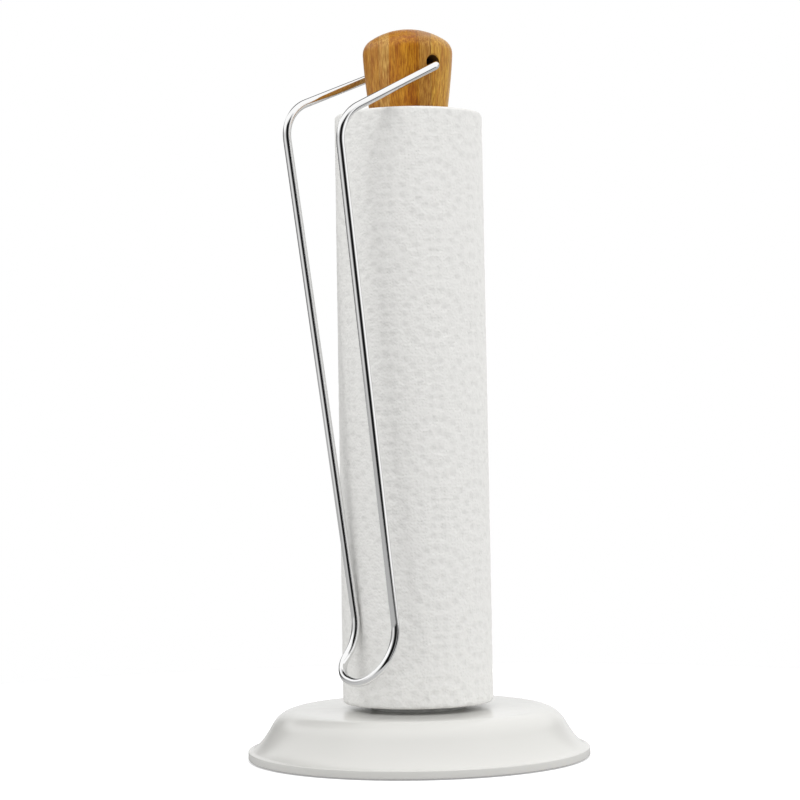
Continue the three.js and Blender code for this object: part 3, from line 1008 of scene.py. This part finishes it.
# Each has its material's name, colour, roughness, grain scale, grain depth and share of metal.
CAST_IRON = ("dipped_cast_iron", (0.05, 0.05, 0.055), 0.7, 0.9, 0.12 * MM, 0.3)
BLACK_PLASTIC = ("grained_black_plastic", (0.028, 0.028, 0.03), 0.55, 2.2, 0.05 * MM, 0)
ZINC_PLATE = ("zinc_plate", (0.55, 0.57, 0.58), 0.38, 1.2, 0.01 * MM, 1)
PAD_RUBBER = ("grey_pad_rubber", (0.1, 0.1, 0.105), 0.85, 3, 0.04 * MM, 0)
TURNED_BRASS = ("turned_brass", (0.6, 0.42, 0.15), 0.3, 1.6, 0.01 * MM, 1)
WASHER_RUBBER = ("black_washer_rubber", (0.06, 0.06, 0.06), 0.8, 2.5, 0.03 * MM, 0)
DRAWN_STEEL = ("drawn_steel_tube", (0.7, 0.71, 0.72), 0.22, 0.8, 0.008 * MM, 1)

KEPT_FINISHES = {
    "ballast_weight": CAST_IRON,
    "bottom_cover": BLACK_PLASTIC,
    "cover_screw": ZINC_PLATE,
    "foot_pad": PAD_RUBBER,
    "spindle_tube": DRAWN_STEEL,
    "spindle_bottom_plug": ZINC_PLATE,
    "spindle_top_plug": ZINC_PLATE,
    "tie_bolt": ZINC_PLATE,
    "tie_washer": ZINC_PLATE,
    "knob_insert": TURNED_BRASS,
    "knob_stud": ZINC_PLATE,
    "knob_washer": WASHER_RUBBER,
}


class TOWELHOLDER_OT_kept(Operator):
    """Finish the weight, cover, screws, pads, spindle and fixings"""

    bl_idname = "towel_holder.kept"
    bl_label = "Fixings"

    def execute(self, context):
        made = {}
        for name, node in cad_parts.items():
            kind = name.rstrip("0123456789").rstrip("_")
            if kind not in KEPT_FINISHES:
                continue
            finish = KEPT_FINISHES[kind]
            if finish not in made:
                made[finish] = grained_finish(*finish)
            for material_slot in node.material_slots:
                material_slot.material = made[finish]
        return {"FINISHED"}


# ---- The stage ----

# The camera's distance from the spindle and height in metres, its lens and sensor in
# millimetres, and its small turns off straight ahead in degrees.
CAMERA_REACH = 1.1109
CAMERA_HEIGHT = 0.1502
CAMERA_LENS = 104.45
CAMERA_SENSOR = 36
CAMERA_YAW = -0.329
CAMERA_PITCH = 1.027
CAMERA_ROLL = 0.966


def place_camera():
    """The camera stands VIEW_TURN degrees round from the -Y side, towards the arm."""
    turn = radians(VIEW_TURN)
    yaw, pitch, roll = (radians(a) for a in (CAMERA_YAW, CAMERA_PITCH, CAMERA_ROLL))
    forward = Vector((cos(pitch) * sin(yaw), cos(pitch) * cos(yaw), sin(pitch)))
    flat_right = forward.cross(Vector((0, 0, 1))).normalized()
    flat_up = flat_right.cross(forward)
    right = flat_right * cos(roll) - flat_up * sin(roll)
    up = flat_right * sin(roll) + flat_up * cos(roll)
    axes = Matrix((right, up, -forward)).transposed().to_4x4()
    away = Matrix.Translation((0, -CAMERA_REACH, CAMERA_HEIGHT))
    lens = bpy.data.cameras.new("studio_camera")
    lens.lens = CAMERA_LENS
    lens.sensor_width = CAMERA_SENSOR
    camera = bpy.data.objects.new("studio_camera", lens)
    camera.matrix_world = Matrix.Rotation(-turn, 4, "Z") @ away @ axes
    bpy.context.scene.collection.objects.link(camera)
    bpy.context.scene.camera = camera


# Brightness of the studio's walls, by degrees to the right of the camera's side.
WALLS = [
    (-180, 1.0),
    (-168, 0.9),
    (-154, 0.04),
    (-126, 0.03),
    (-108, 0.5),
    (-85, 0.5),
    (-62, 0.95),
    (-45, 0.8),
    (-26, 0.36),
    (-14, 0.01),
    (36, 0.01),
    (48, 0.3),
    (62, 1.0),
    (75, 1.2),
    (102, 1.1),
    (118, 0.5),
    (138, 0.4),
    (158, 0.95),
    (180, 1.0),
]


# How high the dark part of the walls reaches, by degrees to the right of the camera's side.
GAP_HEIGHTS = [
    (-180, 0.28),
    (-60, 0.28),
    (-24, 0.62),
    (30, 0.62),
    (66, 0.26),
    (180, 0.28),
]


# The way to the dark part of the back wall, across, away and up, and how it fades in.
BACK_GAP = (-0.25, 0.65, 0.72)
BACK_GAP_EDGE = (0.91, 0.965)
# The dark line under the right-hand wall: its strength by rise above its foot, and by degrees.
HORIZON_DEPTH = 0.2
HORIZON = [(0, 0), (0.03, 1), (0.2, 1), (0.24, 0)]
HORIZON_SIDES = [(40, 0), (50, 1), (84, 1), (92, 0)]
# Brightness of the studio's other parts, and how softly the ceiling and the ground begin.
CEILING_LIGHT = 1.15
GROUND_LIGHT = 0.5
BACK_GAP_LIGHT = 0.03
HORIZON_LIGHT = 0.05
CEILING_FADE = 0.14
GROUND_FADE = 0.05


def by_degrees(tree, share, stops):
    """A ramp round the studio, its stops by degrees to the right of the camera's side."""
    return ramp(tree, share, [(angle / 360 + 0.5, level) for angle, level in stops])


def studio_world():
    """Soft walls with dark gaps behind the camera and at the back, a bright ceiling and a pale
    ground. The camera itself sees plain white."""
    world = bpy.data.worlds.new("soft_studio")
    bpy.context.scene.world = world
    world.use_nodes = True
    tree = world.node_tree
    tree.nodes.clear()
    ray = add(tree, "ShaderNodeTexCoord").outputs["Generated"]
    facing = add(
        tree, "ShaderNodeMapping", {"Vector": ray, "Rotation": (0, 0, radians(VIEW_TURN))}
    ).outputs["Vector"]
    split = add(tree, "ShaderNodeSeparateXYZ", {0: facing})
    toward = maths(tree, "MULTIPLY", split.outputs["Y"], -1)
    azimuth = maths(tree, "ARCTAN2", split.outputs["X"], toward)
    share = spread(tree, azimuth, 0, 1, -pi, pi)
    rise = split.outputs["Z"]
    walls = by_degrees(tree, share, WALLS)
    gap = by_degrees(tree, share, GAP_HEIGHTS)
    above = maths(tree, "DIVIDE", maths(tree, "SUBTRACT", rise, gap), CEILING_FADE)
    light = blend_colours(tree, spread(tree, above, 0, 1), walls, grey(CEILING_LIGHT))
    ground = spread(tree, rise, 0, 1, 0, -GROUND_FADE)
    light = blend_colours(tree, ground, light, grey(GROUND_LIGHT))
    aim = add(tree, "ShaderNodeVectorMath", {0: facing, 1: BACK_GAP}, operation="DOT_PRODUCT")
    behind = spread(tree, aim.outputs["Value"], 0, 1, *BACK_GAP_EDGE)
    light = blend_colours(tree, behind, light, grey(BACK_GAP_LIGHT))
    horizon = ramp(tree, maths(tree, "ADD", rise, HORIZON_DEPTH), HORIZON)
    line = maths(tree, "MULTIPLY", horizon, by_degrees(tree, share, HORIZON_SIDES))
    light = blend_colours(tree, line, light, grey(HORIZON_LIGHT))
    seen = add(tree, "ShaderNodeLightPath").outputs["Is Camera Ray"]
    light = blend_colours(tree, seen, light, grey(1.0))
    glow = add(tree, "ShaderNodeBackground", {"Color": light, "Strength": 1.0})
    output = add(tree, "ShaderNodeOutputWorld")
    tree.links.new(glow.outputs[0], output.inputs["Surface"])


# Each lamp's place across, away and up from the camera's side, the height on the spindle that
# it is aimed at, its size and its power.
SOFT_BOXES = {
    "key_box": ((1.0, -0.55, 0.6), 0.16, (0.7, 1.1), 6.3),
    "fill_box": ((-0.4, -0.36, 0.66), 0.26, (0.4, 0.4), 1.5),
    "low_box": ((-0.35, -0.95, 0.1), 0.02, (0.5, 0.3), 1.3),
}

FLOOR_RADIUS = 0.45
FLOOR_GLOW = 0.35
FLOOR_BOUNCE = 0.5


def soft_box(name, place, aim, size, power):
    lamp = bpy.data.lights.new(name, "AREA")
    lamp.shape = "RECTANGLE"
    lamp.size, lamp.size_y = size
    lamp.energy = power
    box = bpy.data.objects.new(name, lamp)
    box.rotation_mode = "QUATERNION"
    box.location = place
    box.rotation_quaternion = (aim - place).to_track_quat("-Z", "Y")
    box.visible_glossy = False
    bpy.context.scene.collection.objects.link(box)


def floor_finish(rgb):
    """A pale floor that glows a little, and sends only a quiet grey light back at the holder."""
    made, tree, shader = new_material("pale_floor", roughness=0.9, Emission_Strength=FLOOR_GLOW)
    shader.inputs["Emission Color"].default_value = (1, 1, 1, 1)
    tone = noise(tree, in_millimetres(tree), 0.01, 2)
    connect(tree, shader, Base_Color=blend_colours(tree, tone, darker(rgb, 0.98), rgb))
    quiet = add(tree, "ShaderNodeBsdfDiffuse", {"Color": (*grey(FLOOR_BOUNCE), 1)})
    seen = add(tree, "ShaderNodeLightPath").outputs["Is Camera Ray"]
    both = add(
        tree, "ShaderNodeMixShader", {0: seen, 1: quiet.outputs[0], 2: shader.outputs[0]}
    )
    tree.links.new(both.outputs[0], tree.nodes["Material Output"].inputs["Surface"])
    return made


class TOWELHOLDER_OT_stage(Operator):
    """Set up the pale floor, the soft studio light and the camera"""

    bl_idname = "towel_holder.stage"
    bl_label = "Stage"

    def execute(self, context):
        bm = bmesh.new()
        bmesh.ops.create_circle(bm, cap_ends=True, segments=96, radius=FLOOR_RADIUS)
        floor = loose_object("studio_floor", bm)
        floor.data.materials.append(floor_finish(settings().colours.floor))
        studio_world()
        place_camera()
        turn = Matrix.Rotation(radians(-VIEW_TURN), 3, "Z")
        for name, (place, height, size, power) in SOFT_BOXES.items():
            soft_box(name, turn @ Vector(place), Vector((0, 0, height)), size, power)
        context.scene.view_settings.view_transform = "Standard"
        return {"FINISHED"}


class TOWELHOLDER_PT_panel(Panel):
    """Lists the holder's pieces"""

    bl_idname = "TOWELHOLDER_PT_panel"
    bl_label = "Paper Towel Holder"
    bl_space_type = "VIEW_3D"
    bl_region_type = "UI"
    bl_category = "Towel Holder"

    def draw(self, context):
        for kind in OPERATORS:
            self.layout.operator(kind.bl_idname)
        for group in (settings().base, settings().roll, settings().knob, settings().arm):
            box = self.layout.box()
            for key in group.__annotations__:
                box.prop(group, key)
        for key in HolderColours.__annotations__:
            self.layout.prop(settings().colours, key)


GROUPS = (BaseSizes, RollSizes, KnobSizes, ArmSizes, HolderColours, HolderSettings)
OPERATORS = (
    TOWELHOLDER_OT_stage,
    TOWELHOLDER_OT_base,
    TOWELHOLDER_OT_rest,
    TOWELHOLDER_OT_card,
    TOWELHOLDER_OT_paper,
    TOWELHOLDER_OT_knob,
    TOWELHOLDER_OT_arm,
    TOWELHOLDER_OT_kept,
)
CLASSES = (*GROUPS, *OPERATORS, TOWELHOLDER_PT_panel)


def register():
    for kind in CLASSES:
        bpy.utils.register_class(kind)
    bpy.types.Scene.towel_holder = PointerProperty(type=HolderSettings)


def unregister():
    del bpy.types.Scene.towel_holder
    for kind in reversed(CLASSES):
        bpy.utils.unregister_class(kind)


def main():
    register()
    bpy.ops.towel_holder.stage()
    bpy.ops.towel_holder.base()
    bpy.ops.towel_holder.rest()
    bpy.ops.towel_holder.card()
    bpy.ops.towel_holder.paper()
    bpy.ops.towel_holder.knob()
    bpy.ops.towel_holder.arm()
    bpy.ops.towel_holder.kept()


if __name__ == "__main__":
    main()
